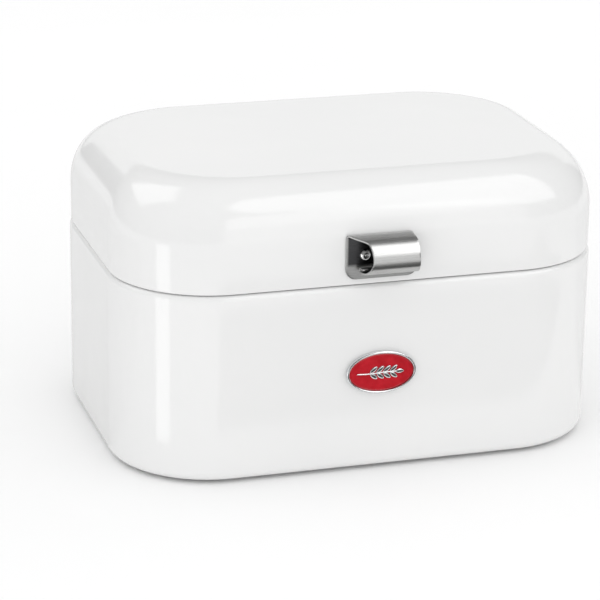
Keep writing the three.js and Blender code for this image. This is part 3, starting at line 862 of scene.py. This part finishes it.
# ---------------------------------------------------------------- the handle
# The bracket is one strip of sheet. Reach is forwards from the lid's front wall.
PLATE_BACK = 0.0003
PLATE_LOW, PLATE_HIGH = 0.1146, 0.1388
PLATE_CORNER = 0.0063
TOP_BEND = 0.0015
UPPER_CENTRE, UPPER_RADIUS = (0.0025, 0.1269), 0.0125
LOWER_RADIUS = 0.0068
ROLL_CHANGE = -8
HEM_RADIUS = 0.0016
HEM_FLAT = 0.0026
HEM_LENGTH = 0.0032
# where the sheet's left and right edges lie: (reach, height, x) of points on the outer face
LEFT_EDGE = (
    (0.0003, 0.130, -0.0216), (0.0003, 0.1375, -0.0215), (0.0012, 0.1401, -0.0210),
    (0.0030, 0.1399, -0.0193), (0.0050, 0.1392, -0.0172), (0.0067, 0.1386, -0.0150),
    (0.0083, 0.1380, -0.0126), (0.0101, 0.1368, -0.0113), (0.0126, 0.1343, -0.0106),
    (0.0144, 0.1306, -0.0102), (0.0150, 0.1270, -0.0102), (0.0141, 0.1228, -0.0115),
    (0.0115, 0.1202, -0.0130), (0.0081, 0.1193, -0.0141), (0.0055, 0.1193, -0.0146),
    (0.0039, 0.1209, -0.0147), (0.0055, 0.1225, -0.0146), (0.0087, 0.1225, -0.0143),
)
RIGHT_EDGE = (
    (0.0003, 0.130, 0.0200), (0.0003, 0.134, 0.0195), (0.0003, 0.1375, 0.0178),
    (0.0012, 0.1401, 0.0163), (0.0030, 0.1399, 0.0163), (0.0067, 0.1386, 0.0169),
    (0.0101, 0.1368, 0.0170),
)
BRACKET_COLUMNS = 28
# a blind rivet's section, (radius, reach): its mouth and its flange from its seat, and its
# shank and tail backwards from the inside of the lid's wall
GRIP_MOUTH = ((0.001, 0.0009), (0.0012, 0.001), (0.0015, 0.0015))
GRIP_CROWN, GRIP_CROWN_RADIUS = (0.0018, 0.0015), 0.0003
GRIP_FLANGE = (
    (0.0024, 0.0014), (0.0028, 0.0009), (0.00305, 0.0005), (0.0031, 0.0002), (0.003, 0),
    (0.0016, 0),
)
GRIP_TAIL = (
    (0.0016, 0), (0.0022, 0.0003), (0.0025, 0.0009), (0.0024, 0.0022), (0.0018, 0.0028),
    (0.001, 0.003),
)
# its core: the stub in the mouth and the ball in the tail
STUB_RADIUS, STUB_START, STUB_RISE, CORE_RADIUS = 0.00085, 0.0011, 0.0006, 0.0008
BALL_RADIUS, BALL_PLACE, BALL_START = 0.0015, -0.0055, -0.0043


def bracket_path():
    """The strip from its lower edge to its hem, as pairs of points on its two faces."""
    bend = (PLATE_BACK + TOP_BEND, PLATE_HIGH)
    run, rise = UPPER_CENTRE[0] - bend[0], UPPER_CENTRE[1] - bend[1]
    apart = math.acos((TOP_BEND - UPPER_RADIUS) / math.hypot(run, rise))
    slope = math.degrees(math.atan2(rise, run) + apart)
    lower = arc(UPPER_CENTRE, UPPER_RADIUS - LOWER_RADIUS, ROLL_CHANGE, ROLL_CHANGE, 1)[0]
    hem = (lower[0] - HEM_FLAT, lower[1] - LOWER_RADIUS + HEM_RADIUS)
    corner = [PLATE_LOW + PLATE_CORNER * (1 - math.cos(math.radians(9 * i))) for i in range(11)]
    faces = []
    for inward in (0, SHEET):
        back = PLATE_BACK + inward
        line = [(back, z) for z in corner]
        line += between(line[-1], (back, PLATE_HIGH), 12)
        line += arc(bend, TOP_BEND - inward, 180, slope, 8)
        upper = arc(UPPER_CENTRE, UPPER_RADIUS - inward, slope, ROLL_CHANGE, 36)
        line += between(line[-1], upper[0], 5) + upper
        line += arc(lower, LOWER_RADIUS - inward, ROLL_CHANGE, -90, 26)[1:]
        turn = arc(hem, HEM_RADIUS - inward, -90, -270, 14)
        line += between(line[-1], turn[0], 4) + turn
        tip = (turn[-1][0] + HEM_LENGTH, turn[-1][1])
        line += between(turn[-1], tip, 4) + [tip]
        faces.append(line)
    return list(zip(*faces))


def edge_places(path, keys):
    """Where an edge lies along X at each row of the path, as a smooth curve through keys."""
    length = [0.0]
    for (a, _), (b, _) in zip(path, path[1:]):
        length.append(length[-1] + math.dist(a, b))
    knots, first = [], 0
    for reach, z, x in keys:
        gaps = [math.dist(outer, (reach, z)) for outer, _ in path[first:]]
        first += gaps.index(min(gaps))
        knots.append((length[first], x))
    slopes = [0.0] * len(knots)
    for k in range(1, len(knots) - 1):
        slopes[k] = (knots[k + 1][1] - knots[k - 1][1]) / (knots[k + 1][0] - knots[k - 1][0])
    places = []
    for here in length:
        if here <= knots[0][0] or here >= knots[-1][0]:
            places.append(knots[0][1] if here <= knots[0][0] else knots[-1][1])
            continue
        k = max(i for i, knot in enumerate(knots[:-1]) if knot[0] <= here)
        (s0, x0), (s1, x1) = knots[k], knots[k + 1]
        span = s1 - s0
        t = (here - s0) / span
        places.append(
            x0 * (1 + 2 * t) * (1 - t) ** 2 + x1 * t * t * (3 - 2 * t)
            + span * t * (1 - t) * (slopes[k] * (1 - t) - slopes[k + 1] * t)
        )
    return places


def bracket():
    """The handle's strip of sheet, its edges drawn in as on the real one."""
    path = bracket_path()
    left, right = edge_places(path, LEFT_EDGE), edge_places(path, RIGHT_EDGE)
    for k, ((_, z), _) in enumerate(path[:11]):
        short = PLATE_CORNER - (z - PLATE_LOW)
        inset = PLATE_CORNER - math.sqrt(max(0, PLATE_CORNER**2 - short**2))
        left[k] += inset
        right[k] -= inset
    faces = [tuple((lid_low.y - reach, z) for reach, z in pair) for pair in path]

    def columns(row):
        span = right[row] - left[row]
        return [left[row] + span * i / BRACKET_COLUMNS for i in range(BRACKET_COLUMNS + 1)]

    return round_edges(sheet(faces, columns), 0.00016, 2, 60)


def reaching(profile, at, steps=48):
    """A turned piece on the lid's front wall. Its profile is (radius, reach)."""
    return lathe([(radius, at.y - reach) for radius, reach in profile], "y", (at.x, 0, at.z), steps)


def grip_rivet(at):
    """A blind rivet: a soft flanged dome round a dished mouth, and a bulged tail."""
    seat, inside = PLATE_BACK + SHEET + PLAY, -SHEET - PLAY
    profile = [(radius, seat + reach) for radius, reach in GRIP_MOUTH]
    profile += arc((GRIP_CROWN[0], seat + GRIP_CROWN[1]), GRIP_CROWN_RADIUS, 180, 60, 5)
    profile += [(radius, seat + reach) for radius, reach in GRIP_FLANGE]
    profile += [(radius, inside - reach) for radius, reach in GRIP_TAIL]
    return reaching(profile, at)


def grip_core(at):
    """The core's broken stub in the rivet's mouth, and its ball inside the tail."""
    seat = PLATE_BACK + SHEET + PLAY
    profile = arc((0, seat + STUB_START), (STUB_RADIUS, STUB_RISE), 90, 0, 8)
    profile += [(CORE_RADIUS, seat + 0.0007), (CORE_RADIUS, BALL_START)]
    profile += arc((0, BALL_PLACE), BALL_RADIUS, 50, -90, 10)
    return reaching(profile, at, 32)


def handle():
    """The bracket and the two rivets that hold it."""
    add("handle_bracket", bracket(), 40)
    for hand in HANDS:
        middle = middle_of("handle_rivet_" + hand)
        at = Vector((middle.x, lid_low.y, middle.z))
        # the rivets and their cores take the brighter steel, whose raised colour is painted light
        add("handle_rivet_" + hand, grip_rivet(at), 60, "bright_steel")
        add("handle_rivet_core_" + hand, grip_core(at), 60, "bright_steel")


# ---------------------------------------------------------------- the floor and the light
FLOOR_HALF = 6
# the wall far out: where it starts, its clearance from the floor, its curve and its height
WALL_START, WALL_CLEAR, WALL_CURVE, WALL_TOP = 3, 0.002, 1.2, 3
WORLD = 0.22
FILLS = ((15, 55, 0.80), (-90, 10, 0.16))  # azimuth, elevation and strength
# name, azimuth, elevation, width and height, radiance, and for some how far away from where
SOFTBOXES = (
    ("front_right", 46, 45, (1.3, 1.35), 2.25),
    ("front_middle", 12, 27, (0.62, 0.5), 1.6),
    ("front_low", 12, 8, (0.75, 0.55), 0.9),
    ("rear_left", -127, 50, (0.9, 0.9), 1.8),
    ("rear_low", 163, 15, (3.0, 1.0), 0.72, 2.2),
    ("corner_strip", -65, 0, (0.025, 0.13), 2.0, 0.06, (-0.122, -0.086, 0.065)),
)
# cards on the floor: from and to in X and Y, and how pale
CARDS = {
    "card_front": ((-0.10, -0.43), (0.4, -0.18), (0.03, 0.04)),
    "card_rear": ((-0.7, -0.03), (0.7, 1.0), (0.77, 0.80)),
}


def stage(name, material, mesh):
    """A piece of the studio, which is no part of the object."""
    data = bpy.data.meshes.new(name)
    mesh.to_mesh(data)
    mesh.free()
    data.materials.append(material)
    piece = bpy.data.objects.new(name, data)
    bpy.context.scene.collection.objects.link(piece)
    return piece


def matt(name, scale, tones, specular=0.5):
    """A matt grey for the studio, between two tones."""
    material, nodes, links, shader = new_material(name)
    tone = ramp(nodes, links, noise(nodes, links, scale), list(zip((0.3, 0.7), tones)))
    links.new(tone, shader.inputs["Base Color"])
    shader.inputs["Roughness"].default_value = 0.9
    shader.inputs["Specular IOR Level"].default_value = specular
    return material


def level(low, high, z):
    """A level rectangle between two corners."""
    (x0, y0), (x1, y1) = low, high
    corners = [(x0, y0, z), (x1, y0, z), (x1, y1, z), (x0, y1, z)]
    return bmesh_of(corners, [(0, 1, 2, 3)])


def make_floor():
    """A pale floor, and far out a wall all round that only the camera sees."""
    material = matt("floor", 3, (0.96, 0.97), 0.1)
    stage("floor", material, level((-FLOOR_HALF,) * 2, (FLOOR_HALF,) * 2, 0))
    steps = 96
    profile = arc((WALL_START, WALL_CLEAR + WALL_CURVE), WALL_CURVE, -90, 0, 24)
    profile.append((WALL_START + WALL_CURVE, WALL_TOP))
    turns = [2 * math.pi * i / steps for i in range(steps)]
    points = [(r * math.cos(t), r * math.sin(t), z) for t in turns for r, z in profile]
    rows = len(profile)
    starts = [(i * rows, (i + 1) % steps * rows) for i in range(steps)]
    quads = [(a + k, b + k, b + k + 1, a + k + 1) for a, b in starts for k in range(rows - 1)]
    wall = stage("backdrop", material, bmesh_of(points, quads))
    wall.data.shade_smooth()
    wall.visible_glossy = wall.visible_diffuse = wall.visible_shadow = False


def outwards(azimuth, elevation):
    """A direction out from the object. Its azimuth is from the front, positive to the right."""
    turn, lift = math.radians(azimuth), math.radians(elevation)
    flat = math.cos(lift)
    return Vector((math.sin(turn) * flat, -math.cos(turn) * flat, math.sin(lift)))


def new_light(name, kind, out, place=(0, 0, 0)):
    """A light that shines against a direction and that the camera doesn't see."""
    light = bpy.data.objects.new(name, bpy.data.lights.new(name, kind))
    bpy.context.scene.collection.objects.link(light)
    light.location = place
    light.rotation_euler = (-out).to_track_quat("-Z", "Y").to_euler()
    light.visible_camera = False
    return light


def fill_light(azimuth, elevation, strength):
    """The room's even light: a sun as wide as the sky, which reflections leave out."""
    light = new_light("fill", "SUN", outwards(azimuth, elevation))
    light.data.angle = math.pi
    light.data.energy = strength * math.pi
    light.visible_glossy = False


def softbox(name, azimuth, elevation, size, radiance, distance=1.6, aim=(0, 0, 0.1)):
    """A rectangular soft light that only reflections see."""
    out = outwards(azimuth, elevation)
    light = new_light(name, "AREA", out, Vector(aim) + out * distance)
    light.data.shape = "RECTANGLE"
    light.data.size, light.data.size_y = size
    light.data.energy = radiance * math.pi * size[0] * size[1]
    light.visible_diffuse = False


def make_light():
    """An even grey room, two wide fills and the soft boxes that reflections show."""
    world = bpy.data.worlds.new("studio")
    bpy.context.scene.world = world
    world.use_nodes = True
    background = world.node_tree.nodes["Background"]
    background.inputs["Color"].default_value = (1, 1, 1, 1)
    background.inputs["Strength"].default_value = WORLD
    for fill in FILLS:
        fill_light(*fill)
    for box in SOFTBOXES:
        softbox(*box)


def make_cards():
    """Cards that only reflections see, as a studio lays them to draw edges and metal."""
    for name, (low, high, tones) in CARDS.items():
        card = stage(name, matt(name, 30, tones), level(low, high, 0.001))
        card.visible_camera = card.visible_diffuse = card.visible_shadow = False


# ---------------------------------------------------------------- the scene
make_camera()
add("tub_shell", tub_shell())
add("lid_shell", lid_shell())
feet()
bumpers()
hinges()
badge()
handle()
make_floor()
make_light()
make_cards()
bpy.context.scene.view_settings.view_transform = "Standard"
